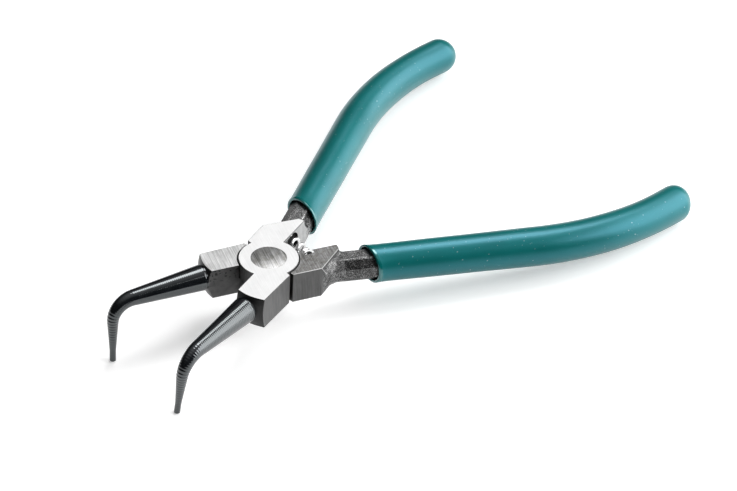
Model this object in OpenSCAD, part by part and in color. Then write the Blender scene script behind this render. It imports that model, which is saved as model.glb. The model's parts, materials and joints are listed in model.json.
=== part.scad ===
// Bent-nose snap ring pliers for rings in a bore: two steel levers lapped on one
// rivet, held open by a small coil spring, with soft sleeves on the handles.
// They lie as put down on a table, z = 0: both tips and both sleeve ends touch it.
// Sizes are in millimetres. A lever's own axes have the pivot at the origin, its inner
// faces in the plane y = 0, its jaw towards +X and its handle towards -X.

/* [Head] */
// Thickness of the head over both lapped discs
head_t = 9.95; // [8.8:0.05:12]
// How far the upper lever's faces stand above the lower lever's
face_step = 0.35; // [0.1:0.05:0.8]
// Diameter of the lapped discs
disc_d = 16.7; // [15:0.1:18]
// Width of the square blocks on both sides of the disc
block_w = 8.9; // [8.2:0.1:10]
// Width of the jaw block at its front end
jaw_block_front_w = 8.4; // [7.6:0.1:9.4]
// Distance from the pivot to the front end of the jaw block
jaw_block_len = 17.65; // [14:0.05:24]
// How far the turned shoulder falls back for each millimetre out from the jaw
shoulder_slope = 0.4; // [0.2:0.05:0.8]
// Length of the handle block along its inner face
handle_block_len = 20.1; // [18:0.1:24]
// Length of the handle block along its outer face
handle_block_outer_len = 12.3; // [10:0.1:15]

/* [Opening] */
// Angle of each lever from the middle line at rest
half_open = 19.7; // [17:0.1:22]
// Turn from rest to where the blocks meet, fully open
stop_play = 7; // [3:0.5:10]

/* [Rivet] */
// Diameter of the rivet's flush faces
rivet_face_d = 10; // [9.2:0.1:12]
// Diameter of the rivet's shank
rivet_shank_d = 8; // [6:0.1:8.4]

/* [Jaws] */
// Distance of the jaw's axis from the lever's inner face, at the block
jaw_inset = 3.26; // [3:0.02:4.4]
// Height of the jaw's axis above the middle of the head
jaw_rise = 0.5; // [0:0.05:0.8]
// Turn of the jaw towards the other jaw
jaw_toe_in = 6.2; // [3:0.1:7]
// Length of the straight part of the jaw
jaw_len = 21.3; // [16:0.1:40]
// Diameter of the jaw at the block
jaw_root_d = 7.5; // [6.4:0.1:8]
// Diameter of the jaw where it starts to bend
jaw_bend_d = 4.56; // [4:0.02:5.4]
// Radius of the bend, on the jaw's axis
bend_r = 6.4; // [5:0.1:12]
// Angle of the bend
bend_a = 86.5; // [60:0.5:90]
// Lean of the bent nose towards the other jaw
nose_cant = 5.4; // [0:0.1:6]
// Length of the bent nose, from the bend to the end of the tip
nose_len = 12.4; // [10:0.1:24]
// Diameter of the nose at the bend
nose_d = 3.2; // [2.6:0.1:3.6]
// Diameter of the tip that enters the ring's hole
tip_d = 1.8; // [1:0.05:2.1]
// Length of the parallel part of the tip, to the middle of its rounded end
tip_len = 2.6; // [1.5:0.1:5]

/* [Handles] */
// Distance of the handle's axis from the lever's inner face, at the end of the block
handle_inset = 3.8; // [3.6:0.05:4.8]
// Turn of the handle away from the lever's inner face
handle_angle = 10.3; // [8:0.1:14]
// Depth of the upper handle's axis below the middle of the head, at the block
upper_handle_drop = 0.8; // [0:0.05:0.8]
// Depth of the lower handle's axis below the middle of the head, at the block
lower_handle_drop = 0.5; // [0:0.05:0.8]
// Height of both handles' ends above the middle of the head
handle_end_rise = 0.5; // [0:0.05:1.5]
// Width of the forged bar between the block and the sleeve
bar_w = 8.1; // [7.6:0.1:8.3]
// Thickness of the forged bar
bar_t = 7.6; // [7:0.1:8.2]
// Size of the bar's slanting corners
bar_corner = 2.1; // [1.9:0.05:2.4]
// Length of bar that shows between the block and the sleeve, on its axis
bar_len = 7.4; // [6:0.1:14]
// Length of the handle from the sleeve's mouth to the bend
handle_straight = 48; // [35:0.5:70]
// Radius of the handle's bend, on its axis
handle_bend_r = 85; // [60:1:120]
// Angle of the handle's bend
handle_bend_a = 30; // [20:0.5:36]
// Length of the handle after the bend, to the middle of its round end
handle_end_len = 3.4; // [2:0.1:20]

/* [Sleeves] */
// Diameter of the bore of the sleeves
sleeve_bore_d = 9.3; // [8.9:0.05:9.4]
// Outer diameter of the sleeve at its mouth
sleeve_mouth_d = 10.6; // [10.4:0.1:12]
// Outer diameter of the sleeve along the bend and at its end
sleeve_end_d = 11.2; // [10.8:0.1:13]
// Slant of the sleeve's mouth, which reaches further forward on the inner side
mouth_slant = 30; // [0:1:34]
// Thickness of the sleeve's closed end
sleeve_end_wall = 2.6; // [1.5:0.1:4]
// Diameter of the small flat at the top of each dome
dome_flat_d = 0.6; // [0.4:0.1:2]

/* [Spring] */
// Outer diameter of the coils
coil_d = 4.2; // [3.6:0.1:4.4]
// Diameter of the wire
wire_d = 0.9; // [0.6:0.05:0.9]
// Number of turns between the bent ends
coil_turns = 3; // [2.5:0.25:4]
// Turn of the first coil about the spring's axis
coil_phase = 325; // [0:5:355]
// Distance from the pivot to the spring, along the upper lever's inner face
seat_upper = 13.2; // [12.4:0.1:14]
// Distance from the pivot to the spring, along the lower lever's inner face
seat_lower = 12.3; // [11.8:0.1:13]
// Depth of the spring's axis below the top of the head, at the upper lever
seat_upper_depth = 3.2; // [3:0.1:5]
// Depth of the spring's axis below the top of the head, at the lower lever
seat_lower_depth = 2.3; // [2.2:0.1:5]
// Depth of the round pockets that hold the spring
pocket_depth = 1.9; // [1.9:0.1:2.6]

/* [Clearances] */
// Gap between the two lapped faces
lap_gap = 0.05; // [0.02:0.01:0.2]
// Gap between a disc and the hollow in the other lever
disc_gap = 0.3; // [0.2:0.05:0.5]
// Gap round the rivet in the lower lever, which turns on it
rivet_gap = 0.04; // [0.02:0.01:0.08]
// Gap between the handle's core and the sleeve
sleeve_gap = 0.05; // [0.02:0.01:0.15]
// Gap between the spring's coils and its pockets
pocket_gap = 0.4; // [0.3:0.05:0.7]
// Gap between the ends of the spring and the floors of its pockets
seat_gap = 0.05; // [0.02:0.01:0.3]

/* [Hidden] */
$fn = 96;
ROUND_SIDES = 24;
WIRE_SIDES = 6;
CURL_RINGS = 8;
PAST = 1;
THIN = 0.2;
// How far a body runs on inside the next one, and how much fuller the bent bodies are
BURIED = 0.5;
FULLER = 0.02;
// How far the eight-sided bar runs on inside the sleeve
BAR_LAP = 6;

half_t = head_t / 2;
block_bottom = face_step - half_t;
disc_r = disc_d / 2;
shoulder_a = 90 - stop_play / 2 - half_open;
blunt_r = tip_d / 2;
rivet_head_h = (rivet_face_d - rivet_shank_d) / 2;
core_r = sleeve_bore_d / 2 - sleeve_gap;
core_start = bar_len + BAR_LAP;
core_end_len = handle_end_len - sleeve_end_wall;
pocket_d = coil_d + 2 * pocket_gap;

// Points turned about an axis through the origin
function turned_x(p, a) = [p[0], p[1] * cos(a) - p[2] * sin(a), p[1] * sin(a) + p[2] * cos(a)];
function turned_z(p, a) = [p[0] * cos(a) - p[1] * sin(a), p[0] * sin(a) + p[1] * cos(a), p[2]];

// Middle of the round tip, first along the jaw, then on the upper lever at rest
jaw_root = [jaw_block_len, jaw_inset, jaw_rise];
nose_start = [jaw_len + bend_r * sin(bend_a), 0, -bend_r * (1 - cos(bend_a))];
nose_way = [cos(bend_a), 0, -sin(bend_a)];
tip_on_jaw = nose_start + (nose_len - blunt_r) * nose_way;
tip_on_lever = turned_z(turned_x(tip_on_jaw, -nose_cant), -jaw_toe_in) + jaw_root;
tip = turned_z(tip_on_lever, half_open);

// Middle of the sleeve's round end, first along the handle, then on the upper lever at rest
handle_root = [-handle_block_len, -handle_inset, 0];
upper_heights = [-upper_handle_drop, handle_end_rise];
lower_heights = [-lower_handle_drop, handle_end_rise];
sleeve_start = bar_len;
bend_start = sleeve_start + handle_straight;
handle_end = [
    bend_start + handle_bend_r * sin(handle_bend_a) + handle_end_len * cos(handle_bend_a),
    -handle_bend_r * (1 - cos(handle_bend_a)) - handle_end_len * sin(handle_bend_a),
    0
];
grip_end = turned_z(turned_z(handle_end, 180 + handle_angle) + handle_root, half_open)
    + [0, 0, handle_end_rise];

// The plane that touches the round tips and the round sleeve ends is the table
reach = [tip[0] - grip_end[0], grip_end[2] - tip[2]];
lean = atan2(reach[1], reach[0]) - asin((sleeve_end_d / 2 - blunt_r) / norm(reach));
function leaned_x(p) = p[0] * cos(lean) - p[2] * sin(lean);
function leaned_z(p) = p[0] * sin(lean) + p[2] * cos(lean);
front_x = leaned_x(tip) + blunt_r;
back_x = leaned_x(grip_end) - (sleeve_end_d - dome_flat_d) / 2;
pivot_h = blunt_r - leaned_z(tip);

// The spring's straight axis at rest, from pocket floor to pocket floor
seat_a = turned_z([-seat_upper, 0, half_t - seat_upper_depth], half_open);
seat_b = turned_z([-seat_lower, 0, half_t - seat_lower_depth], -half_open);
spring_way = (seat_b - seat_a) / norm(seat_b - seat_a);
floor_a = seat_a - pocket_depth * spring_way;
floor_b = seat_b + pocket_depth * spring_way;
spring_len = norm(floor_b - floor_a) - 2 * seat_gap;

// Frames

module on_table() {
    translate([-(front_x + back_x) / 2, 0, pivot_h])
        rotate([0, -lean, 0])
            children();
}

module upper_side() {
    rotate([0, 0, half_open])
        children();
}

module lower_side() {
    rotate([0, 0, -half_open])
        mirror([0, 1, 0])
            children();
}

module on_jaw() {
    translate(jaw_root)
        rotate([0, 0, -jaw_toe_in])
            children();
}

// Heights are those of the handle's axis at the block and at the handle's end
module on_handle(heights) {
    translate(handle_root + [0, 0, heights[0]])
        rotate([0, -asin((heights[1] - heights[0]) / handle_end[0]), 180 + handle_angle])
            children();
}

module along(from, way) {
    translate(from)
        rotate([0, acos(way[2]), atan2(way[1], way[0])])
            children();
}

// Jaw: turned cone, bent down, with a parallel tip

function bend_point(a) = [jaw_len + bend_r * sin(a), 0, -bend_r * (1 - cos(a))];
function bend_radius(a) = (jaw_bend_d + (nose_d - jaw_bend_d) * a / bend_a) / 2;
function bend_ring(a, r) = [
    for (i = [0:ROUND_SIDES - 1])
        let (turn = 360 * i / ROUND_SIDES)
            bend_point(a) + r * (cos(turn) * [sin(a), 0, cos(a)] + sin(turn) * [0, 1, 0])
];

// Faces of a tube of rings, with triangles all over
function tube_faces(rings, sides) = concat(
    [for (i = [1:sides - 2]) [0, i + 1, i]],
    [
        for (k = [0:rings - 2], i = [0:sides - 1], half = [0, 1])
            let (j = (i + 1) % sides, low = k * sides, high = low + sides)
                half == 0 ? [low + i, high + j, high + i] : [low + i, low + j, high + j]
    ],
    [for (i = [1:sides - 2]) [0, i, i + 1] + (rings - 1) * sides * [1, 1, 1]]
);

module jaw_bend() {
    steps = 12;
    tuck = 0.996;
    end_tuck = 0.94;
    into_cone = [for (p = bend_ring(0, bend_radius(0) * end_tuck)) p - [BURIED, 0, 0]];
    into_nose = [for (p = bend_ring(bend_a, bend_radius(bend_a) * end_tuck)) p + BURIED * nose_way];
    rings = [
        into_cone,
        for (k = [0:steps])
            bend_ring(bend_a * k / steps, bend_radius(bend_a * k / steps) * tuck),
        into_nose
    ];
    polyhedron([for (ring = rings) each ring], tube_faces(len(rings), ROUND_SIDES));
}

// Half outline of a rod that starts at r1, has r2 at a length, may go on parallel, and
// ends in a dome with a flat at its top
module round_ended(taper, straight, r1, r2, flat_r) {
    round_r = r2 - flat_r;
    polygon([
        [0, 0],
        [r1, 0],
        if (taper > 0) [r2, taper],
        [r2, taper + straight],
        [0, taper + straight]
    ]);
    translate([flat_r, taper + straight])
        intersection() {
            circle(r = round_r);
            square(round_r);
        }
    if (flat_r > 0)
        translate([0, taper + straight - THIN])
            square([flat_r, round_r + THIN]);
}

module jaw() {
    rooted = PAST * (jaw_root_d - jaw_bend_d) / 2 / jaw_len;
    on_jaw() {
        translate([-PAST, 0, 0])
            rotate([0, 90, 0])
                cylinder(h = jaw_len + PAST, r1 = jaw_root_d / 2 + rooted, r2 = jaw_bend_d / 2);
        rotate([-nose_cant, 0, 0]) {
            jaw_bend();
            translate(nose_start)
                rotate([0, 90 + bend_a, 0])
                    rotate_extrude()
                        round_ended(nose_len - blunt_r - tip_len, tip_len, nose_d / 2, blunt_r, 0);
        }
    }
}

// The jaw block ends in a shoulder turned round the jaw's axis
module shoulder_envelope(rise) {
    fall = 3;
    under = 0.2;
    root_r = jaw_root_d / 2;
    translate([0, 0, rise - jaw_rise])
        on_jaw()
            translate([under, 0, 0])
                rotate([0, -90, 0]) {
                    cylinder(
                        h = under + fall,
                        r1 = root_r - under / shoulder_slope,
                        r2 = root_r + fall / shoulder_slope
                    );
                    translate([0, 0, under + fall])
                        cylinder(h = jaw_block_len + PAST, r = root_r + fall / shoulder_slope);
                }
}

module jaw_block(rise) {
    intersection() {
        translate([0, 0, block_bottom])
            linear_extrude(head_t - face_step)
                polygon([
                    [0, 0],
                    [jaw_block_len + PAST, 0],
                    [jaw_block_len + PAST, jaw_block_front_w],
                    [block_w / tan(shoulder_a), block_w]
                ]);
        shoulder_envelope(rise);
    }
}

// Handle block, with the forged neck that leads to the bar

module handle_block() {
    translate([0, 0, block_bottom])
        linear_extrude(head_t - face_step)
            polygon([
                [0, 0],
                [-block_w / tan(shoulder_a), -block_w],
                [-handle_block_outer_len, -block_w],
                [-handle_block_len, 0]
            ]);
}

// The bar's eight-sided section, or one that is fuller all round
module bar_section(fuller) {
    half_w = bar_w / 2 + fuller;
    half_h = bar_t / 2 + fuller;
    flat_w = bar_w / 2 - bar_corner;
    flat_h = bar_t / 2 - bar_corner;
    polygon([
        [half_w, -flat_h],
        [half_w, flat_h],
        [flat_w, half_h],
        [-flat_w, half_h],
        [-half_w, flat_h],
        [-half_w, -flat_h],
        [-flat_w, -half_h],
        [flat_w, -half_h]
    ]);
}

module neck(heights) {
    // The bar's first section is about parallel to the block's slanting end
    neck_slant = 0.6;
    neck_shift = -1.1;
    hull() {
        translate([0, 0, block_bottom])
            linear_extrude(head_t - face_step)
                polygon([
                    [-handle_block_outer_len, -block_w],
                    [-handle_block_len, 0],
                    [-handle_block_len + THIN, 0],
                    [-handle_block_outer_len + THIN, -block_w]
                ]);
        on_handle(heights)
            multmatrix([
                [1, -neck_slant, 0, neck_shift],
                [0, 1, 0, 0],
                [0, 0, 1, 0],
                [0, 0, 0, 1]
            ])
                rotate([90, 0, 90])
                    linear_extrude(THIN)
                        bar_section(FULLER);
    }
}

module forged_bar(heights) {
    back = 3.8;
    inner_side = 2 * handle_block_len;
    intersection() {
        on_handle(heights)
            translate([-back, 0, 0])
                rotate([90, 0, 90])
                    linear_extrude(back + core_start + PAST)
                        bar_section(0);
        translate([-2 * inner_side, -inner_side, -head_t])
            cube([2 * inner_side, inner_side, 2 * head_t]);
    }
}

// A round bar along the handle, from a start to a round end past the bend
module round_handle(r, start, end_len) {
    translate([start, 0, 0])
        rotate([0, 90, 0])
            cylinder(h = bend_start + BURIED - start, r = r);
    translate([bend_start, -handle_bend_r, 0])
        rotate([0, 0, 90 - handle_bend_a])
            rotate_extrude(angle = handle_bend_a)
                translate([handle_bend_r, 0])
                    circle(r = r + FULLER);
    past_bend()
        rotate_extrude()
            round_ended(0, end_len + BURIED, r, r, dome_flat_d / 2);
}

module past_bend() {
    translate([bend_start, -handle_bend_r, 0])
        rotate([0, 0, -handle_bend_a])
            translate([-BURIED, handle_bend_r, 0])
                rotate([0, 90, 0])
                    children();
}

module handle_core(heights) {
    on_handle(heights)
        round_handle(core_r, core_start, core_end_len);
}

// Disc, blocks and handle of the upper lever; the lower lever has the same, turned over
module lever_body(rise, heights, gap) {
    difference() {
        union() {
            translate([0, 0, lap_gap / 2])
                cylinder(h = half_t - lap_gap / 2, r = disc_r);
            difference() {
                union() {
                    jaw_block(rise);
                    handle_block();
                    neck(heights);
                }
                translate([0, 0, block_bottom - PAST])
                    cylinder(h = PAST - block_bottom + lap_gap / 2, r = disc_r + disc_gap);
            }
            forged_bar(heights);
            handle_core(heights);
        }
        rivet_body(gap);
    }
}

module rivet_body(gap) {
    shank_r = rivet_shank_d / 2 + gap;
    face_r = rivet_face_d / 2 + gap;
    cylinder(h = head_t, r = shank_r, center = true);
    translate([0, 0, half_t - rivet_head_h])
        cylinder(h = rivet_head_h, r1 = shank_r, r2 = face_r);
    translate([0, 0, -half_t])
        cylinder(h = rivet_head_h, r1 = face_r, r2 = shank_r);
}

module spring_pocket(from, way) {
    along(from, way)
        cylinder(h = pocket_depth + pocket_d / 2, d = pocket_d);
}

module upper_lever() {
    color("dimgray")
        on_table()
            difference() {
                upper_side() {
                    lever_body(jaw_rise, upper_heights, 0);
                    jaw();
                }
                spring_pocket(floor_a, spring_way);
            }
}

module lower_lever() {
    color("slategray")
        on_table()
            difference() {
                lower_side() {
                    mirror([0, 0, 1])
                        lever_body(-jaw_rise, -lower_heights, rivet_gap);
                    jaw();
                }
                spring_pocket(floor_b, -spring_way);
            }
}

module pivot_rivet() {
    color("silver")
        on_table()
            rivet_body(0);
}

// Return spring: one wire from pocket floor to pocket floor. Each end leaves the coil
// on an arc, and runs straight along the axis for one wire diameter.

coil_r = (coil_d - wire_d) / 2;
end_arc = 1.4;
end_steps = 4;
function coil_pitch(a) = 360 * coil_r * tan(a) * PI / 180;
function end_height(a) = end_arc * cos(a) / ((90 - a) * PI / 180);
function turns_height(a) = coil_turns * coil_pitch(a);
function total_height(a) = 2 * wire_d + 2 * end_height(a) + turns_height(a);
// Slope of the coils, found by halving, that fills the length of the spring
LEAST_SLOPE = 1;
MOST_SLOPE = 45;
HALVINGS = 40;
function fitted_slope(low, high, n) =
    n == 0 ? (low + high) / 2 :
    let (mid = (low + high) / 2)
        total_height(mid) > spring_len ? fitted_slope(low, mid, n - 1) : fitted_slope(mid, high, n - 1);
coil_slope = fitted_slope(LEAST_SLOPE, MOST_SLOPE, HALVINGS);

// Turn and height along one end, from the coil outwards, u from 0 to 1
end_span = (90 - coil_slope) * PI / 180;
function end_turn(u) =
    let (a = coil_slope + u * (90 - coil_slope))
        end_arc / end_span / coil_r * (sin(a) - sin(coil_slope)) * 180 / PI;
function end_rise(u) =
    let (a = coil_slope + u * (90 - coil_slope))
        end_arc / end_span * (cos(coil_slope) - cos(a));

coil_steps = ceil(coil_turns * CURL_RINGS);
low_z = wire_d + end_height(coil_slope);
high_z = spring_len - low_z;
// Each entry is the turn, the height and the slope of the wire
wire_route = concat(
    [[coil_phase - end_turn(1), 0, 90]],
    [
        for (k = [end_steps:-1:1])
            let (u = k / end_steps)
                [coil_phase - end_turn(u), low_z - end_rise(u), coil_slope + u * (90 - coil_slope)]
    ],
    [
        for (k = [0:coil_steps])
            let (u = k / coil_steps)
                [coil_phase + 360 * coil_turns * u, low_z + (high_z - low_z) * u, coil_slope]
    ],
    [
        for (k = [1:end_steps])
            let (u = k / end_steps)
                [
                    coil_phase + 360 * coil_turns + end_turn(u),
                    high_z + end_rise(u),
                    coil_slope + u * (90 - coil_slope)
                ]
    ],
    [[coil_phase + 360 * coil_turns + end_turn(1), spring_len, 90]]
);
function wire_point(w) = [coil_r * cos(w[0]), coil_r * sin(w[0]), w[1]];
function wire_ring(w) = [
    for (i = [0:WIRE_SIDES - 1])
        let (
            turn = 360 * i / WIRE_SIDES,
            out = [cos(w[0]), sin(w[0]), 0],
            side = [sin(w[0]) * sin(w[2]), -cos(w[0]) * sin(w[2]), cos(w[2])]
        )
            wire_point(w) + wire_d / 2 * (cos(turn) * out + sin(turn) * side)
];

// Least gap between stretches of the wire that are more than half a turn apart
route_gaps = [
    for (p = wire_route, q = wire_route)
        if (q[0] - p[0] > 180)
            norm(wire_point(p) - wire_point(q)) - wire_d
];
echo(str("least gap of the spring to itself, mm: ", min(route_gaps)));

module return_spring() {
    color("gainsboro")
        on_table()
            along(floor_a + seat_gap * spring_way, spring_way)
                polyhedron(
                    [for (w = wire_route) each wire_ring(w)],
                    tube_faces(len(wire_route), WIRE_SIDES)
                );
}

// Grips: soft sleeves, bored to fit the handle's core and cut on a slant at the mouth

module sleeve_outside() {
    overrun = sleeve_mouth_d / 2;
    translate([sleeve_start - overrun, 0, 0])
        rotate([0, 90, 0])
            cylinder(h = handle_straight + overrun + BURIED, d1 = sleeve_mouth_d, d2 = sleeve_end_d);
    translate([bend_start, -handle_bend_r, 0])
        rotate([0, 0, 90 - handle_bend_a])
            rotate_extrude(angle = handle_bend_a)
                translate([handle_bend_r, 0])
                    circle(r = sleeve_end_d / 2 + FULLER);
    past_bend()
        rotate_extrude()
            round_ended(0, handle_end_len + BURIED, sleeve_end_d / 2, sleeve_end_d / 2, dome_flat_d / 2);
}

// All that lies in front of the slanting plane of the mouth
module mouth_cut() {
    side = 2 * sleeve_mouth_d;
    translate([sleeve_start, 0, 0])
        rotate([0, 0, -mouth_slant])
            translate([-side, -side / 2, -side / 2])
                cube(side);
}

module sleeve(heights) {
    bore_start = sleeve_start - sleeve_mouth_d;
    on_handle(heights)
        difference() {
            sleeve_outside();
            round_handle(sleeve_bore_d / 2, bore_start, core_end_len + sleeve_gap);
            mouth_cut();
        }
}

module upper_grip() {
    color("teal")
        on_table()
            upper_side()
                sleeve(upper_heights);
}

module lower_grip() {
    color("teal")
        on_table()
            lower_side()
                sleeve(lower_heights);
}

upper_lever();
lower_lever();
pivot_rivet();
return_spring();
upper_grip();
lower_grip();
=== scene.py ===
import json
import math

import bpy
from mathutils import Matrix, Vector


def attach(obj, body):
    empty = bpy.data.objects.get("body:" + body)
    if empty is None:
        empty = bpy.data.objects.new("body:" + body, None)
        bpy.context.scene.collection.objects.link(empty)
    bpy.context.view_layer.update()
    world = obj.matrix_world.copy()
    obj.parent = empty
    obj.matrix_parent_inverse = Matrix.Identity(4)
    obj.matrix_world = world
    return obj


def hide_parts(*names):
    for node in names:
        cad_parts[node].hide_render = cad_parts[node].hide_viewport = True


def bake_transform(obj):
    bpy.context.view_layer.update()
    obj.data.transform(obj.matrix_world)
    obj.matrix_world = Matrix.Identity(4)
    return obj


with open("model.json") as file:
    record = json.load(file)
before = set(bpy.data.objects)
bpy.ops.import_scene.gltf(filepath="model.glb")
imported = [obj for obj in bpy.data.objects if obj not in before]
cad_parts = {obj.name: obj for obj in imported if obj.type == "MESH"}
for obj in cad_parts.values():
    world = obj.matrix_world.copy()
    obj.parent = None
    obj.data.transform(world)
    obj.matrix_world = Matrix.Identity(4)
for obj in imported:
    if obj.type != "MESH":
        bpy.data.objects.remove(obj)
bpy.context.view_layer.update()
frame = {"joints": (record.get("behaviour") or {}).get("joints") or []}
scene = bpy.context.scene
scene.view_settings.view_transform = "Standard"


# Table top: a smooth white laminated board that the pliers lie on. It is part of the
# picture and not of the tool. Away from the tool it shows as plain white.

table_size = 5


def new_finish(name):
    """An empty node material with its Principled shader."""
    material = bpy.data.materials.new(name)
    material.use_nodes = True
    tree = material.node_tree
    return material, tree, tree.nodes["Principled BSDF"]


def deselect_all():
    bpy.ops.object.select_all(action="DESELECT")


def worked_out(tree, operation, first, second):
    """One value worked out from two others."""
    node = tree.nodes.new("ShaderNodeMath")
    node.operation = operation
    tree.links.new(first, node.inputs[0])
    tree.links.new(second, node.inputs[1])
    return node.outputs[0]


def spread(tree, value, start, end, low=0, high=1):
    """A value that goes from low to high while another goes from start to end."""
    node = tree.nodes.new("ShaderNodeMapRange")
    node.inputs["From Min"].default_value = start
    node.inputs["From Max"].default_value = end
    node.inputs["To Min"].default_value = low
    node.inputs["To Max"].default_value = high
    tree.links.new(value, node.inputs["Value"])
    return node.outputs["Result"]


def table_finish():
    """White board that looks plain white, also in the steel, and still takes shadows."""
    near = 0.25
    far = 0.9
    near_lift = 0.37
    far_lift = 1
    material, tree, shader = new_finish("table_white")
    shader.inputs["Base Color"].default_value = (0.9, 0.9, 0.9, 1)
    shader.inputs["Roughness"].default_value = 0.25
    shader.inputs["Specular IOR Level"].default_value = 0.5
    rays = tree.nodes.new("ShaderNodeLightPath").outputs
    seen = worked_out(tree, "MAXIMUM", rays["Is Camera Ray"], rays["Is Glossy Ray"])
    seen = worked_out(tree, "MAXIMUM", seen, rays["Is Transmission Ray"])
    place = tree.nodes.new("ShaderNodeTexCoord")
    away = tree.nodes.new("ShaderNodeVectorMath")
    away.operation = "LENGTH"
    tree.links.new(place.outputs["Object"], away.inputs[0])
    lift = spread(tree, away.outputs["Value"], near, far, near_lift, far_lift)
    shader.inputs["Emission Color"].default_value = (1, 1, 1, 1)
    tree.links.new(worked_out(tree, "MULTIPLY", seen, lift), shader.inputs["Emission Strength"])
    return material


deselect_all()
bpy.ops.mesh.primitive_plane_add(size=table_size)
table = bpy.context.object
table.name = "table_top"
table.data.materials.append(table_finish())


# Studio light: a soft panel high behind the tool, a wide one low at its side, and a room
# that is bright overhead and dim near the floor. The camera sees the room itself white.

def soft_panel(name, place, width, height, power):
    """A flat light that faces the middle of the tool."""
    light = bpy.data.lights.new(name, "AREA")
    light.shape = "RECTANGLE"
    light.size = width
    light.size_y = height
    light.energy = power
    panel = bpy.data.objects.new(name, light)
    panel.location = place
    panel.rotation_euler = (-Vector(place)).to_track_quat("-Z", "Y").to_euler()
    scene.collection.objects.link(panel)


def ramp(tree, value, stops):
    """Colours or greys at stops along a value."""
    node = tree.nodes.new("ShaderNodeValToRGB")
    elements = node.color_ramp.elements
    while len(elements) < len(stops):
        elements.new(0.5)
    for element, (at, colour) in zip(elements, stops):
        parts = colour if isinstance(colour, tuple) else (colour, colour, colour)
        element.position = at
        element.color = (*parts, 1)
    tree.links.new(value, node.inputs["Fac"])
    return node.outputs["Color"]


def blended(tree, kind, share, first, second):
    """Two colours blended, where each value is a number, a colour or an output."""
    node = tree.nodes.new("ShaderNodeMix")
    node.data_type = "RGBA"
    node.blend_type = kind
    for socket, value in (("Factor_Float", share), ("A_Color", first), ("B_Color", second)):
        place = next(i for i in node.inputs if i.identifier == socket)
        if isinstance(value, (int, float)):
            place.default_value = value
        elif isinstance(value, tuple):
            place.default_value = (*value, 1)
        else:
            tree.links.new(value, place)
    return next(o for o in node.outputs if o.identifier == "Result_Color")


def studio_room():
    """A room that gets brighter towards overhead."""
    overhead = (-0.12, -0.05, 0.99)
    room = bpy.data.worlds.new("room")
    scene.world = room
    room.use_nodes = True
    tree = room.node_tree
    way = tree.nodes.new("ShaderNodeTexCoord")
    height = tree.nodes.new("ShaderNodeVectorMath")
    height.operation = "DOT_PRODUCT"
    height.inputs[1].default_value = overhead
    tree.links.new(way.outputs["Generated"], height.inputs[0])
    light = ramp(tree, height.outputs["Value"], [(0, 0.02), (0.6, 0.05), (0.88, 0.4), (1, 0.7)])
    rays = tree.nodes.new("ShaderNodeLightPath").outputs
    shown = blended(tree, "MIX", rays["Is Camera Ray"], light, (1, 1, 1))
    tree.links.new(shown, tree.nodes["Background"].inputs["Color"])


soft_panel("back_panel", (-0.47, -0.21, 0.98), 0.42, 0.6, 6.2)
soft_panel("side_panel", (-0.819, 0.64, 0.53), 1.5, 1.08, 25)
studio_room()


# Camera: a long lens about 0.7 m away, in front of the jaws and looking down on them at
# the angle of the photograph.

camera_data = bpy.data.cameras.new("camera")
camera_data.lens = 123.14
camera = bpy.data.objects.new("camera", camera_data)
camera.location = (0.36305, 0.41467, 0.46533)
camera.rotation_euler = [math.radians(a) for a in (50.018, 1.027, 137.820)]
scene.collection.objects.link(camera)
scene.camera = camera


# Upper and lower lever: two equal steel forgings that lap at the rivet. Disc and blocks
# are ground flat, the jaw is turned and then bent, and the handle's bar is left rough.

# Both are modelled in millimetres in a lever's own axes: the pivot at the origin, the jaw
# towards +X and the inner faces in the plane y = 0. The lower lever is then turned over.

MM = 0.001
pivot = frame["joints"][0]
lean = math.atan2(-pivot["axis"][0], pivot["axis"][2])
half_open = math.radians(19.7)
on_table = (
    Matrix.Translation(pivot["pos_m"]) @ Matrix.Rotation(-lean, 4, "Y") @ Matrix.Scale(MM, 4)
)
upper_turn = Matrix.Rotation(half_open, 4, "Z")
lower_turn = Matrix.Rotation(-half_open, 4, "Z") @ Matrix.Scale(-1, 4, (0, 1, 0))

half_t = 9.95 / 2
# A block's face lies this far below the other lever's disc
face_step = 0.35
lap_gap = 0.05
disc_r = 8.35
hollow_r = disc_r + 0.3
block_w = 8.9
# The shoulders of the blocks meet when the tool opens this many degrees further
stop_play = 7
shoulder_a = math.radians(90 - stop_play / 2) - half_open
jaw_block_len = 18.65
jaw_block_end_w = 8.4
jaw_root = Vector((17.65, 3.26, 0.5))
jaw_root_r = 3.75
jaw_toe_in = math.radians(6.2)
handle_block_len = 20.1
handle_block_outer_len = 12.3
back_corner = 1.9
edge_break = 0.14


def select_only(piece):
    deselect_all()
    piece.select_set(True)
    bpy.context.view_layer.objects.active = piece


def edit(piece):
    """Starts edit mode on one piece with all of it selected."""
    select_only(piece)
    bpy.ops.object.mode_set(mode="EDIT")
    bpy.ops.mesh.select_all(action="SELECT")


def leave_edit():
    bpy.ops.object.mode_set(mode="OBJECT")


def shaped(piece, kind, **settings):
    """Adds one modifier and applies it."""
    select_only(piece)
    modifier = piece.modifiers.new(kind.lower(), kind)
    for key, value in settings.items():
        setattr(modifier, key, value)
    bpy.ops.object.modifier_apply(modifier=modifier.name)


def joined(piece, other, operation="UNION"):
    """Fuses another solid to the piece, or takes it out of it."""
    shaped(piece, "BOOLEAN", operation=operation, solver="MANIFOLD", object=other)
    bpy.data.objects.remove(other)
    return piece


def edges_broken(piece, width, sharp):
    """Rounds off a little the edges that turn by more than so many degrees."""
    shaped(
        piece, "BEVEL", width=width, segments=2, limit_method="ANGLE",
        angle_limit=math.radians(sharp), use_clamp_overlap=False,
    )


def smoothed(piece, sharp):
    """Shades a piece smooth, but for edges that turn by more than so many degrees."""
    select_only(piece)
    bpy.ops.object.shade_smooth_by_angle(angle=math.radians(sharp))


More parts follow.
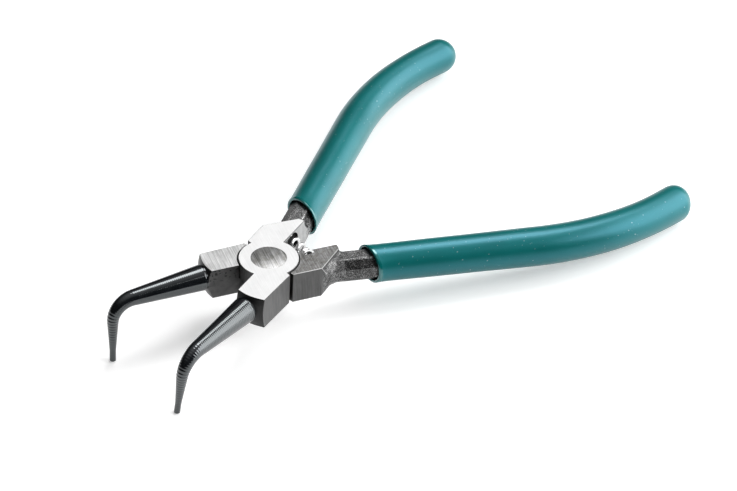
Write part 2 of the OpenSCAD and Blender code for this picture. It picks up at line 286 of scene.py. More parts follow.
def from_points(name, points, edges, faces):
    """A piece made straight from its points, edges and faces."""
    mesh = bpy.data.meshes.new(name)
    mesh.from_pydata(points, edges, faces)
    piece = bpy.data.objects.new(name, mesh)
    scene.collection.objects.link(piece)
    return piece


def closed_shell(piece, gap):
    """Merges doubled points and turns all faces outwards."""
    edit(piece)
    bpy.ops.mesh.remove_doubles(threshold=gap)
    bpy.ops.mesh.normals_make_consistent(inside=False)
    leave_edit()


def flat_plate(corners, low, high):
    """A plate with these corners, from one height to another."""
    deselect_all()
    bpy.ops.mesh.primitive_circle_add(vertices=len(corners), fill_type="NGON")
    piece = bpy.context.object
    for vertex, corner in zip(piece.data.vertices, corners):
        vertex.co = (*corner, low)
    edit(piece)
    bpy.ops.mesh.extrude_region_move(TRANSFORM_OT_translate={"value": (0, 0, high - low)})
    bpy.ops.mesh.select_all(action="SELECT")
    bpy.ops.mesh.normals_make_consistent(inside=False)
    leave_edit()
    return piece


def round_plate(radius, low, high, sides=128):
    """A round plate about the pivot, from one height to another."""
    deselect_all()
    bpy.ops.mesh.primitive_cylinder_add(
        vertices=sides, radius=radius, depth=high - low, location=(0, 0, (low + high) / 2)
    )
    bpy.ops.object.transform_apply()
    return bpy.context.object


def turned(name, profile, sides):
    """A solid turned about the X axis, from the lengths and radii along its side."""
    steps = [(i, i + 1) for i in range(len(profile) - 1)]
    piece = from_points(name, [(x, 0, r) for x, r in profile], steps, [])
    edit(piece)
    bpy.ops.mesh.spin(steps=sides, angle=2 * math.pi, center=(0, 0, 0), axis=(1, 0, 0))
    leave_edit()
    closed_shell(piece, 0.0005)
    return piece


def rod(radius, start, end, sides=96):
    """A round rod between two points."""
    way = end - start
    deselect_all()
    bpy.ops.mesh.primitive_cylinder_add(vertices=sides, radius=radius, depth=way.length)
    piece = bpy.context.object
    piece.location = (start + end) / 2
    piece.rotation_euler = way.to_track_quat("Z", "Y").to_euler()
    bpy.ops.object.transform_apply()
    return piece


def heights(up, low, high):
    """A span of heights, turned over where up is -1."""
    return (low, high) if up > 0 else (-high, -low)


def ground_head(name, up):
    """Disc and blocks, with their edges just broken."""
    hollow_depth = 9
    in_plane = math.radians(0.5)
    shoulder_x = block_w / math.tan(shoulder_a)
    whole = heights(up, face_step - half_t, half_t)
    hollow = heights(up, -hollow_depth, lap_gap / 2)
    jaw_block = flat_plate([
        (0, 0), (jaw_block_len, 0), (jaw_block_len, jaw_block_end_w), (shoulder_x, block_w),
    ], *whole)
    handle_block = flat_plate([
        (0, 0), (-shoulder_x, -block_w), (-handle_block_outer_len, -block_w),
        (-handle_block_len, -back_corner), (-handle_block_len, 0),
    ], *whole)
    piece = round_plate(disc_r, *heights(up, lap_gap / 2, half_t))
    piece.name = name
    for block in (jaw_block, handle_block):
        joined(block, round_plate(hollow_r, *hollow), "DIFFERENCE")
        joined(piece, block)
    edit(piece)
    bpy.ops.mesh.remove_doubles(threshold=0.002)
    bpy.ops.mesh.dissolve_limited(angle_limit=in_plane)
    leave_edit()
    edges_broken(piece, edge_break, 30)
    return piece


# The spring's line crosses the inner faces of the handle blocks at these two points, and
# a pocket is drilled there. The upper one is wider and runs out into the hollow round
# the disc. The lower one lies a little off its point, as the spring's lower end does.
spring_seats = (
    upper_turn @ Vector((-13.2, 0, half_t - 3.2)),
    lower_turn @ Vector((-12.3, 0, half_t - 2.3)),
)
spring_way = (spring_seats[1] - spring_seats[0]).normalized()
pocket_depth = 1.9
pocket_rs = (2.9, 2.35)
pocket_shifts = (Vector((0, 0, 0)), Vector((1.1, 0, -0.1)))
relief_shift = Vector((2.6, 0, 0))
relief_r = 2.5
relief_depth = 1.3


def rivet_solid(name, gap):
    """The rivet, or its hole, with both countersunk heads."""
    face_r = 5 + gap
    shank_r = 4 + gap
    sink = 1
    piece = turned(name, [
        (-half_t - gap, 0), (-half_t - gap, face_r), (sink - half_t - gap, shank_r),
        (half_t - sink + gap, shank_r), (half_t + gap, face_r), (half_t + gap, 0),
    ], 96)
    piece.data.transform(Matrix.Rotation(math.radians(-90), 4, "Y"))
    return piece


def machined(head, up, turn):
    """Turns the jaw's shoulder, and drills the rivet's hole and the spring's pocket."""
    shoulder_x = 0.18
    root_r = 3.3
    fall = 3
    slope = 0.4
    clear_r = 20
    clear_x = 4
    rivet_play = 0.02
    cutter = turned("shoulder_cutter", [
        (shoulder_x, 0), (shoulder_x, root_r), (-fall, root_r + fall / slope),
        (-fall, clear_r), (clear_x, clear_r), (clear_x, 0),
    ], 128)
    cutter.data.transform(Matrix.Translation(jaw_root) @ Matrix.Rotation(-jaw_toe_in, 4, "Z"))
    joined(head, cutter, "DIFFERENCE")
    joined(head, rivet_solid("rivet_hole", rivet_play), "DIFFERENCE")
    which = 0 if up > 0 else 1
    seat = spring_seats[which]
    pocket_r = pocket_rs[which]
    shift = pocket_shifts[which]
    inward = (-spring_way, spring_way)[which]
    back = turn.inverted()
    floor = back @ (seat + pocket_depth * inward)
    mouth = back @ (seat - pocket_r * inward)
    joined(head, rod(pocket_r, floor + shift, mouth + shift), "DIFFERENCE")
    if up > 0:
        relief_floor = back @ (seat + relief_depth * inward)
        relief = rod(relief_r, relief_floor + relief_shift, mouth + relief_shift)
        joined(head, relief, "DIFFERENCE")
    return head


# The jaw is turned to a long cone, with a fine groove at its root and the marks of the
# tool left on it, and then bent down and canted a little towards the other jaw.
jaw_len = 21.2
jaw_bend_r = 6.4
jaw_bend_a = math.radians(86.5)
jaw_bend_end = jaw_len + jaw_bend_r * jaw_bend_a
jaw_nose_len = 12.4
jaw_tip_from = jaw_bend_end + 8.9
jaw_cant = math.radians(-5.4)
# Lengths along the jaw and its radius there
jaw_sizes = [(0, jaw_root_r), (jaw_len, 2.28), (jaw_bend_end, 1.6), (jaw_tip_from, 0.9), (99, 0.9)]


def between(sizes, at, eased=False):
    """The size at a length, from a list of lengths with their sizes."""
    for (start, first), (end, last) in zip(sizes, sizes[1:]):
        if at <= end:
            share = (at - start) / (end - start)
            if eased:
                share = share * share * (3 - 2 * share)
            return first + (last - first) * share


def held(share):
    """A share kept between 0 and 1."""
    return min(max(share, 0), 1)


def tool_marks(at, mark):
    """Height of the turned surface in millimetres, which is below 0 in the marks.

    Fine marks run all along the jaw, and coarse ones over the first part of its nose.
    """
    fine_pitch = 0.58
    coarse_pitch = 0.84
    coarse_mark = 0.045
    coarse_from = -3.5
    coarse_to = 8.5
    rise_len = 2
    fall_len = 4
    fine_left = 0.2
    past_bend = at - jaw_bend_end
    coarse = held((past_bend - coarse_from) / rise_len) * held((coarse_to - past_bend) / fall_len)
    fine = 1 - (1 - fine_left) * coarse
    return (
        mark * fine * (math.cos(2 * math.pi * at / fine_pitch) - 1)
        + coarse_mark * coarse * (math.cos(2 * math.pi * at / coarse_pitch) - 1)
    )


def bent_line(at, straight, radius, angle):
    """Place on a line that runs straight and then bends: along, aside and its turn."""
    arc = min(max((at - straight) / radius, 0), angle)
    over = max(at - straight - radius * angle, 0)
    along = min(at, straight) + radius * math.sin(arc) + over * math.cos(arc)
    aside = radius * (1 - math.cos(arc)) + over * math.sin(arc)
    return along, aside, arc


def turned_jaw(name, mark):
    """The jaw: turned, with tool marks of a given depth, then bent and set in place."""
    full = jaw_bend_end + jaw_nose_len
    step = 0.075
    buried = 1.2
    buried_r = 3
    groove_r = 3.36
    groove_end = 0.55
    tip_round = 0.22
    end_play = 0.12
    profile = [
        (-buried, 0), (-buried, buried_r), (0.1, groove_r), (0.4, groove_r),
        (groove_end, 3.55), (groove_end + 0.12, 3.65),
    ]
    at = groove_end + 0.3
    while at < full - tip_round - 0.05:
        profile.append((at, between(jaw_sizes, at) + tool_marks(at, mark)))
        at += step
    for k in range(5):
        turn = math.radians(90 * k / 4)
        profile.append((
            full - end_play - tip_round * (1 - math.sin(turn)),
            between(jaw_sizes, full) - tip_round * (1 - math.cos(turn)),
        ))
    profile.append((full - end_play, 0))
    jaw = turned(name, profile, 56)
    for vertex in jaw.data.vertices:
        x, y, z = vertex.co
        along, below, arc = bent_line(x, jaw_len, jaw_bend_r, jaw_bend_a)
        vertex.co = (along + z * math.sin(arc), y, z * math.cos(arc) - below)
    jaw.data.transform(
        Matrix.Translation(jaw_root)
        @ Matrix.Rotation(-jaw_toe_in, 4, "Z")
        @ Matrix.Rotation(jaw_cant, 4, "X")
    )
    return jaw


# The neck and the bar behind the block keep the scaly skin of the forge. Only the face
# towards the other lever is ground.
handle_inset = 3.8
handle_angle = math.radians(10.3)
handle_end_x = 101.8
bar_w = 8.1
bar_t = 7.6
bar_corner = 2.1
bar_len = 7.4
bar_past_mouth = 6
neck_len = 2.6
neck_step = 0.5
neck_end_x = -0.1
neck_slant = 0.6
burr_r = 0.09


def handle_axes(drop, rise):
    """The handle's axes in a lever's: its line runs along +X from the block's back end."""
    tilt = -math.asin((rise + drop) / handle_end_x)
    return (
        Matrix.Translation((-handle_block_len, -handle_inset, -drop))
        @ Matrix.Rotation(math.pi + handle_angle, 4, "Z")
        @ Matrix.Rotation(tilt, 4, "Y")
    )


# Each handle starts below the middle of the head and ends above it, by these two heights
handles = {"upper": handle_axes(0.8, 1.3), "lower": handle_axes(0.5, 0.5)}


def bar_ring(handle, x, slant):
    """Corners of the bar's eight-sided section, at a length along the handle."""
    w, t, c = bar_w / 2, bar_t / 2, bar_corner
    corners = [
        (w, c - t), (w, t - c), (w - c, t), (c - w, t),
        (-w, t - c), (-w, c - t), (c - w, -t), (w - c, -t),
    ]
    return [handle @ Vector((x - slant * y, y, z)) for y, z in corners]


def forged_bar(name, up, handle):
    """The eight-sided bar, with a hollow neck that swells to the block's back end."""
    steps = 10
    swell_power = 1.8
    buried = Vector((1.5, 0, 0))
    low, high = heights(up, face_step - half_t, half_t)
    outer = Vector((-handle_block_outer_len, -block_w, 0))
    inner = Vector((-handle_block_len, 0, 0))
    floor = Vector((0, 0, low + neck_step))
    roof = Vector((0, 0, high - neck_step))
    block_end = [outer.lerp(inner, share) + z for share, z in (
        (0, floor), (0, roof), (0.15, roof), (0.85, roof),
        (1, roof), (1, floor), (0.85, floor), (0.15, floor),
    )]
    rings = [[corner + buried for corner in block_end]]
    for k in range(steps + 1):
        left = 1 - k / steps
        ring = bar_ring(handle, neck_end_x - neck_len * left, neck_slant)
        swell = left ** swell_power
        rings.append([b.lerp(a, swell) for a, b in zip(block_end, ring)])
    rings.append(bar_ring(handle, bar_len + bar_past_mouth, 0))
    sides = len(block_end)
    last = (len(rings) - 1) * sides
    faces = [tuple(range(sides))[::-1], tuple(range(last, last + sides))]
    for start in range(0, last, sides):
        for i in range(sides):
            j = (i + 1) % sides
            faces.append((start + i, start + j, start + sides + j, start + sides + i))
    bar = from_points(name, [corner for ring in rings for corner in ring], [], faces)
    closed_shell(bar, 0.0001)
    return bar


def forge_scale(name, size):
    """Bumps of one size, for the scale on forged steel."""
    scale = bpy.data.textures.new(name, "CLOUDS")
    scale.noise_scale = size
    scale.noise_depth = 1
    return scale


coarse_scale = forge_scale("scale_coarse", 1.1)
fine_scale = forge_scale("scale_fine", 0.3)


def roughened(bar, up):
    """Gives the bar its forged skin, and grinds it down to within the block's faces."""
    under = 0.03
    reach = 99
    shaped(bar, "REMESH", mode="VOXEL", voxel_size=0.16, adaptivity=0)
    shaped(bar, "SMOOTH", factor=0.5, iterations=1)
    for scale, strength in ((coarse_scale, 0.1), (fine_scale, 0.08)):
        shaped(
            bar, "DISPLACE", texture=scale, strength=strength, mid_level=0.5,
            texture_coords="LOCAL",
        )
    low, high = heights(up, face_step - half_t, half_t)
    kept = flat_plate([
        (-reach, -reach), (reach, -reach), (reach, -under), (-reach, -under),
    ], low + under, high - under)
    return joined(bar, kept, "INTERSECT")


def burr_ends(up):
    """Both ends of the thin burr where the side's grinding runs out into the neck."""
    top = half_t - face_step * (up < 0)
    start = Vector((-handle_block_outer_len + 0.1, 0.05 - block_w, top - 0.12))
    end = Vector((-handle_block_outer_len - 1.5, 0.25 - block_w, top - 2.6))
    return start, end


# The finishes of one lever: pale ground faces, darker milled sides, an oiled black jaw and
# grey forged skin. Their patterns are laid out in metres on the finished piece. The lines
# of the grinding are turned by so many degrees.
grind_turn = (0, 0, 68)


def mapped(tree, scale, turn=(0, 0, 0)):
    """Object coordinates, turned and then scaled to so many spans in a metre."""
    place = tree.nodes.new("ShaderNodeTexCoord")
    turned_to = tree.nodes.new("ShaderNodeMapping")
    turned_to.vector_type = "TEXTURE"
    turned_to.inputs["Rotation"].default_value = [math.radians(a) for a in turn]
    scaled = tree.nodes.new("ShaderNodeMapping")
    scaled.inputs["Scale"].default_value = scale
    tree.links.new(place.outputs["Object"], turned_to.inputs["Vector"])
    tree.links.new(turned_to.outputs["Vector"], scaled.inputs["Vector"])
    return scaled.outputs["Vector"]


def noise(tree, vector, scale, detail, roughness):
    node = tree.nodes.new("ShaderNodeTexNoise")
    node.inputs["Scale"].default_value = scale
    node.inputs["Detail"].default_value = detail
    node.inputs["Roughness"].default_value = roughness
    tree.links.new(vector, node.inputs["Vector"])
    return node.outputs[0]


def bumped(tree, shader, height, depth):
    """Bumps of so many metres on the surface."""
    node = tree.nodes.new("ShaderNodeBump")
    node.inputs["Strength"].default_value = 1
    node.inputs["Distance"].default_value = depth
    tree.links.new(height, node.inputs["Height"])
    tree.links.new(node.outputs["Normal"], shader.inputs["Normal"])


def ground_steel(name, dark, light, blotch, metallic, roughness, spans=260, tint=(1, 1, 1)):
    """Steel ground flat in one pass, with fine straight lines and faint blotches."""
    uneven = 0.06
    material, tree, shader = new_finish(name)
    lines = noise(tree, mapped(tree, (110, 3400, 110), grind_turn), 1, 3, 0.6)
    patches = noise(tree, mapped(tree, (spans, spans, spans)), 1, 4, 0.6)
    stain = tuple((1 - blotch) * part for part in tint)
    tone = ramp(tree, lines, [(0.3, dark), (0.7, light)])
    soft = ramp(tree, patches, [(0.35, stain), (0.6, 1)])
    tree.links.new(blended(tree, "MULTIPLY", 1, tone, soft), shader.inputs["Base Color"])
    shader.inputs["Metallic"].default_value = metallic
    rough = ramp(tree, lines, [(0.3, roughness - uneven), (0.7, roughness + uneven)])
    tree.links.new(rough, shader.inputs["Roughness"])
    bumped(tree, shader, lines, 0.000006)
    return material


def milled_steel(name, dark, light, roughness):
    """Dark sides of the blocks, with fine upright lines left by the mill."""
    material, tree, shader = new_finish(name)
    lines = noise(tree, mapped(tree, (3800, 3800, 90)), 1, 3, 0.6)
    patches = noise(tree, mapped(tree, (300, 300, 200)), 1, 3, 0.6)
    tone = ramp(tree, lines, [(0.25, dark), (0.75, light)])
    soft = ramp(tree, patches, [(0.3, 0.8), (0.7, 1)])
    tree.links.new(blended(tree, "MULTIPLY", 1, tone, soft), shader.inputs["Base Color"])
    shader.inputs["Metallic"].default_value = 0.5
    shader.inputs["Roughness"].default_value = roughness
    bumped(tree, shader, lines, 0.000004)
    return material


def black_steel(name):
    """Oiled black oxide on the turned jaws, a little worn and dusty."""
    material, tree, shader = new_finish(name)
    place = mapped(tree, (1, 1, 1))
    dust = noise(tree, place, 2600, 2, 0.5)
    cloud = noise(tree, place, 350, 4, 0.6)
    tone = ramp(tree, cloud, [(0.3, (0.002, 0.003, 0.004)), (0.7, (0.007, 0.008, 0.01))])
    specks = ramp(tree, dust, [(0.74, 0), (0.8, 0.08)])
    tree.links.new(blended(tree, "ADD", 1, tone, specks), shader.inputs["Base Color"])
    shader.inputs["IOR"].default_value = 1.8
    shader.inputs["Specular Tint"].default_value = (0.92, 0.98, 1, 1)
    rough = ramp(tree, cloud, [(0.3, 0.05), (0.7, 0.11)])
    tree.links.new(rough, shader.inputs["Roughness"])
    bumped(tree, shader, dust, 0.000004)
    return material


# Copies of this skin, each with its own share and pale, paint light and shade on the bar: share
# scales the dark tones and pale sets the pale grains.
def forged_steel(name, share, pale):
    """The scaly skin of the forging: dark grey with pale grains."""
    material, tree, shader = new_finish(name)
    place = mapped(tree, (1, 1, 1))
    grain = noise(tree, place, 3400, 2, 0.6)
    cloud = noise(tree, place, 600, 3, 0.6)
    tone = ramp(tree, grain, [(0.4, 0.05 * share), (0.54, 0.15 * share), (0.68, pale)])
    soft = ramp(tree, cloud, [(0.3, 0.5), (0.65, 1)])
    tree.links.new(blended(tree, "MULTIPLY", 1, tone, soft), shader.inputs["Base Color"])
    shader.inputs["Metallic"].default_value = 0.9
    rough = ramp(tree, grain, [(0.35, 0.6), (0.65, 0.35)])
    tree.links.new(rough, shader.inputs["Roughness"])
    bumped(tree, shader, grain, 0.00004)
    return material


def pitted_steel(name):
    """The jaw block's inner side, nearly black, with pits in its upper part."""
    pits_from = 0.0145
    pits_full = 0.0175
    material, tree, shader = new_finish(name)
    place = mapped(tree, (1, 1, 1))
    cloud = noise(tree, place, 500, 3, 0.6)
    pits = noise(tree, place, 1500, 1, 0.4)
    tone = ramp(tree, cloud, [(0.3, 0.06), (0.7, 0.1)])
    parts = tree.nodes.new("ShaderNodeSeparateXYZ")
    tree.links.new(place, parts.inputs["Vector"])
    smooth = spread(tree, parts.outputs["Z"], pits_full, pits_from)
    holes = ramp(tree, pits, [(0.36, 0.05), (0.41, 1)])
    holes = blended(tree, "MIX", smooth, holes, (1, 1, 1))
    tree.links.new(blended(tree, "MULTIPLY", 1, tone, holes), shader.inputs["Base Color"])
    shader.inputs["Metallic"].default_value = 0.3
    shader.inputs["Roughness"].default_value = 0.5
    bumped(tree, shader, holes, 0.00006)
    return material


finishes = {
    "white_ground": ground_steel("ground_face_pale", 0.7, 0.79, 0.05, 0.2, 0.5),
    "grey_ground": ground_steel("ground_face_grey", 0.42, 0.78, 0.2, 0.5, 0.45),
    "dull_ground": ground_steel(
        "ground_face_dull", 0.07, 0.38, 0.4, 0.5, 0.5, 800, (1, 0.97, 0.9)
    ),
    "inner_ground": ground_steel("inner_face", 0.34, 0.46, 0.2, 0.4, 0.5),
    "milled": milled_steel("milled_side", 0.07, 0.13, 0.5),
    "pitted": pitted_steel("pitted_side"),
    "black": black_steel("turned_black"),
    # The forged skin comes in copies that paint light and shade: the flats are the lit copy, the
    # chamfers painted shade, the sides half shade and the neck painted shade.
    "forged": forged_steel("forged_skin", 1.3, 0.6),
    "forged_edge_painted_shade": forged_steel("forged_skin_painted_shade", 0.3, 0.22),
    "forged_side_painted_half_shade": forged_steel("forged_skin_side_painted_half_shade", 1.0, 0.32),
    "forged_neck_painted_shade": forged_steel("forged_skin_neck_painted_shade", 1.3, 0.34),
    # A paler ground finish for the burr and the lower lever's broken edges: a painted highlight
    # along them
    "edge_painted_highlight": ground_steel("broken_edge_painted_highlight", 0.4, 0.6, 0.2, 0.5, 0.4),
    # Near black walls for the spring's pockets and the upper relief: painted shade in these
    # recesses
    "pocket": milled_steel("pocket_wall_painted_shade", 0.008, 0.02, 0.6),
    "shoulder": milled_steel("turned_shoulder", 0.008, 0.03, 0.35),
}
# A face is square to a direction when the cosine of its way out to it is more than this
square = 0.99
jaw_way = Vector((math.cos(jaw_toe_in), -math.sin(jaw_toe_in), 0))
shoulder_way = Vector((-math.sin(shoulder_a), math.cos(shoulder_a), 0))


def off_line(place, start, way):
    """How far a place lies from a line."""
    from_start = place - start
    return (from_start - from_start.dot(way) * way).length


def in_pocket(centre, normal, up, seat, way):
    """Whether a face belongs to the spring's pocket or to the upper pocket's relief."""
    play = 0.1
    relief_from, relief_to = -14, -7.5
    relief_reach = 2.2
    rim = 0.3
    inner_face = 0.03
    pocket_r = pocket_rs[0 if up > 0 else 1]
    near_line = off_line(centre, seat, way) < pocket_r + play
    drilled = near_line and abs((centre - seat).dot(way)) < pocket_depth + play
    relieved = (
        up > 0 and relief_from < centre.x < relief_to and centre.y > -relief_reach
        and normal.y > -square and abs(centre.z) < half_t - rim
    )
    return centre.y < -inner_face and (drilled or relieved)


def behind_block(centre):
    """Whether a face lies behind the slanting back of the handle block."""
    slope = (block_w - back_corner) / (handle_block_len - handle_block_outer_len)
    back_x = min(handle_block_len, handle_block_len - (-back_corner - centre.y) / slope)
    return centre.x < -0.05 - back_x


# Picks a lit or a shaded copy of the forged skin by facet and by neck, which paints light and
# shade on the bar.
def bar_finish(place):
    """The finish of the neck or the bar, from a place in the handle's axes."""
    neck_to = 0.4
    flat_from = bar_t / 2 - 0.25
    edge_from = bar_t / 2 - bar_corner
    if place.x < neck_to:
        return "forged_neck_painted_shade"
    if abs(place.z) > flat_from:
        return "forged"
    return "forged_edge_painted_shade" if abs(place.z) > edge_from else "forged_side_painted_half_shade"


def finish_of(centre, normal, up, seat, way, to_handle):
    """The finish of a lever's face, from its middle and its way out in the lever's axes."""
    level = 0.999
    jaw_side_x = 12
    root_x = 0.2
    flush = 0.04
    underside = -4.5
    broken_from = half_t - 0.6
    burr_reach = 1.2 * burr_r
    lap_play = 0.5
    shoulder_play = 0.3
    at_jaw = centre.x > jaw_side_x
    height = centre.z * up
    ground = abs(normal.z) > level and (abs(height - half_t) < flush or height < underside)
    # Faces in the pockets and the relief get the near black finish, which paints their shade
    if in_pocket(centre, normal, up, seat, way):
        return "pocket"
    if at_jaw and (centre - jaw_root).dot(jaw_way) > root_x:
        return "black"
    start, end = burr_ends(up)
    # The burr gets the paler edge finish, a painted highlight along it
    if off_line(centre, start, (end - start).normalized()) < burr_reach:
        return "edge_painted_highlight"
    if at_jaw and abs(normal.z) < 0.9 and normal.x > 0.2:
        return "shoulder"
    if behind_block(centre) and not ground:
        return "inner_ground" if normal.y > square else bar_finish(to_handle @ centre)
    # The lower lever's broken top edges get the paler edge finish, a painted highlight along them
    broken = 0.15 < abs(normal.z) < 0.98 and abs(centre.z) > broken_from
    if broken and centre.y < lap_play and up < 0:
        return "edge_painted_highlight"
    if ground:
        if up > 0 or centre.z < 0:
            return "white_ground"
        return "grey_ground" if centre.x > 0 else "dull_ground"
    if abs(normal.y) > square and abs(centre.y) < lap_play:
        return "inner_ground" if centre.x < 0 else "pitted"
    if abs(normal.dot(shoulder_way)) > square and abs(centre.dot(shoulder_way)) < shoulder_play:
        return "shoulder"
    return "milled"


def dressed(lever, up, turn, to_handle):
    """Gives each face of a lever its finish."""
    back = turn.inverted()
    seat = back @ spring_seats[0 if up > 0 else 1]
    way = back.to_3x3() @ spring_way
    lever.data.materials.clear()
    for material in finishes.values():
        lever.data.materials.append(material)
    order = list(finishes)
    for face in lever.data.polygons:
        finish = finish_of(face.center, face.normal, up, seat, way, to_handle)
        face.material_index = order.index(finish)


# The last value is the depth of the fine turning marks, less on the lower jaw
for name, up, turn, body, mark in (
    ("upper_lever_forging", 1, upper_turn, "upper", 0.018),
    ("lower_lever_forging", -1, lower_turn, "lower", 0.005),
):
    lever = machined(ground_head(name, up), up, turn)
    joined(lever, turned_jaw(name + "_jaw", mark))
    joined(lever, rod(burr_r, *burr_ends(up), 12))
    joined(lever, roughened(forged_bar(name + "_bar", up, handles[body]), up))
    dressed(lever, up, turn, handles[body].inverted())
    lever.data.transform(on_table @ turn)
    if up < 0:
        lever.data.flip_normals()
    smoothed(lever, 25)
    shaped(lever, "WEIGHTED_NORMAL", keep_sharp=True)
    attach(lever, body)
    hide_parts(body + "_lever")


# Rivet: a steel pin through both discs, headed into both countersinks and ground flush.
# It is tight in the upper lever, and the lower one turns on it.

rivet = rivet_solid("rivet", 0)
edges_broken(rivet, 0.1, 60)
rivet.data.transform(on_table)
rivet.data.materials.append(
    ground_steel("rivet_face", 0.16, 0.6, 0.3, 0.8, 0.42, 600, (1, 0.99, 0.94))
)
smoothed(rivet, 25)
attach(rivet, "upper")
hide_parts("pivot_rivet")


# Return spring: one bright plated wire that stands in the pockets of both handle blocks
# and is held by its own push. It is coiled open, but for two closed turns at its lower end.

wire_d = 0.95
coil_r = 1.72
# How far the lower end lies off the line between the pockets
end_shift = lower_turn.to_3x3() @ Vector((1.05, 0, -0.6))
ring_top_a = math.radians(160)
# Height of the wire's middle above the upper pocket's floor, after each full turn
ring_tops = [0.52, 3.2, 6.4, 9.1, 10.1, 11.05]


def wire_height(turn):
    """Height of the wire after some turns, on a smooth curve through the ring tops."""
    last = len(ring_tops) - 1
    k = min(int(turn), last - 1)
    t = turn - k
    low, high = ring_tops[k], ring_tops[k + 1]
    below = ring_tops[k - 1] if k > 0 else 2 * low - high
    above = ring_tops[k + 2] if k + 2 <= last else 2 * high - low
    rise_low = (high - below) / 2
    rise_high = (above - low) / 2
    return (
        low * (2 * t**3 - 3 * t**2 + 1) + rise_low * (t**3 - 2 * t**2 + t)
        + high * (3 * t**2 - 2 * t**3) + rise_high * (t**3 - t**2)
    )


def spring_wire(name):
    """The coiled wire, from the upper pocket's floor to the lower one's."""
    steps = 260
    curve = bpy.data.curves.new(name, "CURVE")
    curve.dimensions = "3D"
    curve.bevel_depth = wire_d / 2
    curve.bevel_resolution = 3
    curve.use_fill_caps = True
    spline = curve.splines.new("POLY")
    spline.points.add(steps)
    floor = spring_seats[0] - pocket_depth * spring_way
    stand = (
        Matrix.Rotation(math.atan2(spring_way.y, spring_way.x), 3, "Z")
        @ Matrix.Rotation(math.acos(spring_way.z), 3, "Y")
    )
    for k, point in enumerate(spline.points):
        turn = (len(ring_tops) - 1) * k / steps
        a = ring_top_a + 2 * math.pi * turn
        height = wire_height(turn)
        place = floor + stand @ Vector((coil_r * math.cos(a), coil_r * math.sin(a), height))
        place += end_shift * (height / ring_tops[-1]) ** 2
        point.co = (*place, 1)
    piece = bpy.data.objects.new(name, curve)
    scene.collection.objects.link(piece)
    select_only(piece)
    bpy.ops.object.convert(target="MESH")
    return bpy.context.object


def plated_wire():
    """Bright plating with the faint streaks of the drawn wire."""
    material, tree, shader = new_finish("plated_wire")
    drawn = noise(tree, mapped(tree, (900, 900, 900)), 1, 3, 0.6)
    tree.links.new(ramp(tree, drawn, [(0.3, 0.5), (0.7, 0.72)]), shader.inputs["Base Color"])
    shader.inputs["Metallic"].default_value = 1
    tree.links.new(ramp(tree, drawn, [(0.3, 0.18), (0.7, 0.3)]), shader.inputs["Roughness"])
    return material


spring = spring_wire("spring_wire")
spring.data.transform(on_table)
spring.data.materials.append(plated_wire())
smoothed(spring, 60)
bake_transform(spring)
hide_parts("return_spring")


# Grips: sleeves of soft green plastic, dipped onto both handles, with a rolled lip at the
# slanting mouth. Each is modelled straight, and then bent as its handle is.

handle_straight = 48
handle_bend_r = 85
handle_bend_a = math.radians(30)
handle_end_len = 3.4
handle_len = bar_len + handle_straight + handle_bend_r * handle_bend_a + handle_end_len
sleeve_bore_r = 4.65
sleeve_mouth_r = 5.3
sleeve_end_r = 5.4
end_wall = 2.8
lip_r = 0.42
lip_len = 0.9
# Lengths from the mouth and the outer radius there
sleeve_sizes = [
    (0, sleeve_mouth_r), (26, 5.45), (48, 5.6), (66, 5.5), (84, 5.35), (99, sleeve_end_r),
]


def sleeve_profile(mouth):
    """Half section of the sleeve: the bore, the lip, the outside and the domed end."""
    step = 1.5
    lip_blend = 5
    bore_from = mouth + 1.2
    bore_end = handle_len - end_wall
    profile = []
    for k in range(7):
        turn = math.radians(15 * k)
        profile.append((
            bore_end + sleeve_bore_r * math.cos(turn), sleeve_bore_r * math.sin(turn)
        ))
    at = bore_end - step
    while at > bore_from:
        profile.append((at, sleeve_bore_r))
        at -= step
    profile.append((mouth + lip_len, sleeve_bore_r + 0.02))
    for k in range(9):
        turn = math.radians(22.5 * k)
        profile.append((
            mouth + lip_r - lip_r * math.sin(turn),
            sleeve_bore_r + lip_r - lip_r * math.cos(turn),
        ))
    lip_height = sleeve_bore_r + 2 * lip_r - sleeve_mouth_r
    at = 1.0
    while at < handle_len - mouth - 1:
        blend = max(1 - at / lip_blend, 0)
        profile.append((mouth + at, between(sleeve_sizes, at, True) + lip_height * blend * blend))
        at += step
    dome_r = between(sleeve_sizes, handle_len - mouth, True)
    for k in range(13):
        turn = math.radians(7.5 * k)
        profile.append((handle_len + dome_r * math.sin(turn), dome_r * math.cos(turn)))
    return profile


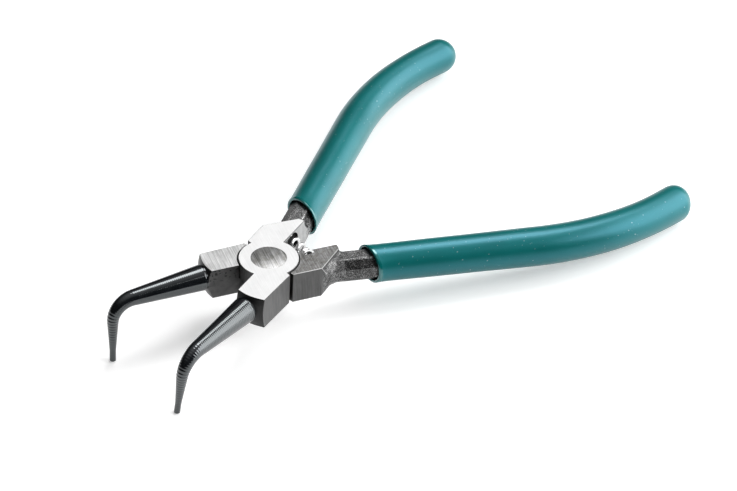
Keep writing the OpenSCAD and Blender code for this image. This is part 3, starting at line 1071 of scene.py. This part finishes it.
def dipped_sleeve(name, mouth, slant, handle, skew):
    """A sleeve with its mouth cut on a slant and its end a little skewed."""
    fade_len = 14
    skew_len = 7
    skew_start = handle_len + sleeve_end_r - skew_len
    sleeve = turned(name, sleeve_profile(mouth), 64)
    for face in sleeve.data.polygons:
        face.material_index = 1 if face.center.x < mouth + lip_len else 0
    for vertex in sleeve.data.vertices:
        x, y, z = vertex.co
        fade = max(1 - max(x - mouth, 0) / fade_len, 0)
        x += y * math.tan(slant) * fade * fade * (3 - 2 * fade)
        outward = 0.5 + 0.5 * y / sleeve_end_r
        x -= skew * outward * outward * max(x - skew_start, 0)
        along, aside, arc = bent_line(
            x, bar_len + handle_straight, handle_bend_r, handle_bend_a
        )
        vertex.co = (along + y * math.sin(arc), y * math.cos(arc) - aside, z)
    sleeve.data.transform(handle)
    return sleeve


def soft_green(name, roughness, ior, tint):
    """Satin green plastic with fine grain and a few trapped specks."""
    material, tree, shader = new_finish(name)
    place = mapped(tree, (1, 1, 1))
    grain = noise(tree, place, 5200, 2, 0.6)
    cloud = noise(tree, place, 70, 3, 0.5)
    specks = noise(tree, place, 1700, 1, 0.4)
    tone = ramp(tree, cloud, [(0.3, (0, 0.105, 0.1)), (0.7, (0, 0.13, 0.125))])
    dust = ramp(tree, specks, [(0.74, 0), (0.8, 0.25)])
    mottle = ramp(tree, grain, [(0.3, 0.86), (0.7, 1)])
    colour = blended(tree, "MULTIPLY", 1, tone, mottle)
    tree.links.new(blended(tree, "ADD", 1, colour, dust), shader.inputs["Base Color"])
    shader.inputs["Roughness"].default_value = roughness
    shader.inputs["Specular IOR Level"].default_value = 0.9
    shader.inputs["IOR"].default_value = ior
    shader.inputs["Specular Tint"].default_value = (*tint, 1)
    bumped(tree, shader, grain, 0.000012)
    return material


sleeve_finish = soft_green("sleeve_green", 0.33, 1.5, (0.3, 0.74, 1))
# The lip is glossier, where the plastic gathered as it set
lip_finish = soft_green("lip_green", 0.1, 1.65, (0.6, 0.95, 1))
for name, turn, body, mouth, slant, skew in (
    ("upper_sleeve", upper_turn, "upper", bar_len + 0.7, math.radians(30), 0.1),
    ("lower_sleeve", lower_turn, "lower", bar_len + 0.35, math.radians(20), 0.22),
):
    sleeve = dipped_sleeve(name, mouth, slant, handles[body], skew)
    sleeve.data.transform(on_table @ turn)
    if body == "lower":
        sleeve.data.flip_normals()
    sleeve.data.materials.append(sleeve_finish)
    sleeve.data.materials.append(lip_finish)
    smoothed(sleeve, 40)
    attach(sleeve, body)
    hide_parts(body + "_grip")
